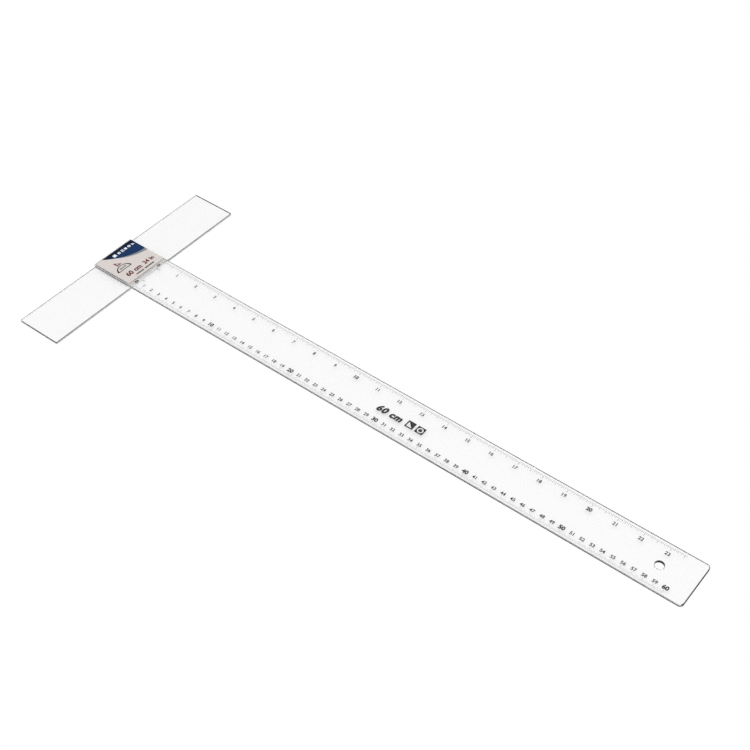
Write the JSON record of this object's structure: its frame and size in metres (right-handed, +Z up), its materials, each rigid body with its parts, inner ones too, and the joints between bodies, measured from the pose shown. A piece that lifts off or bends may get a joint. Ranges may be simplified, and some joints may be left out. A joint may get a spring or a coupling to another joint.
{
  "type": "t square",
  "caption": "Clear acrylic T-square: a flat graduated blade bonded at a right angle across a plain head, with a printed label on the joint and a hanging hole at the tip.",
  "frame": {"origin": "on the head's working edge at the blade's centreline, in the plane of the head's underside", "axes": "+X along the blade from the head's working edge to the tip, +Y across the blade to the edge with the inch scale, +Z up, from the head's underside to the blade's printed side"},
  "size_m": [0.67, 0.25, 0.0065],
  "materials": {
    "clear_acrylic": "polished",
    "adhesive_film": "satin",
    "label_stock": "satin",
    "scale_ink": "satin",
    "label_navy_ink": "satin",
    "label_grey_ink": "satin",
    "label_red_ink": "satin",
    "label_white_ink": "satin"
  },
  "bodies": {
    "root": {"head": "clear_acrylic", "adhesive_film": "adhesive_film", "blade": "clear_acrylic", "label": "label_stock"}
  },
  "joints": []
}
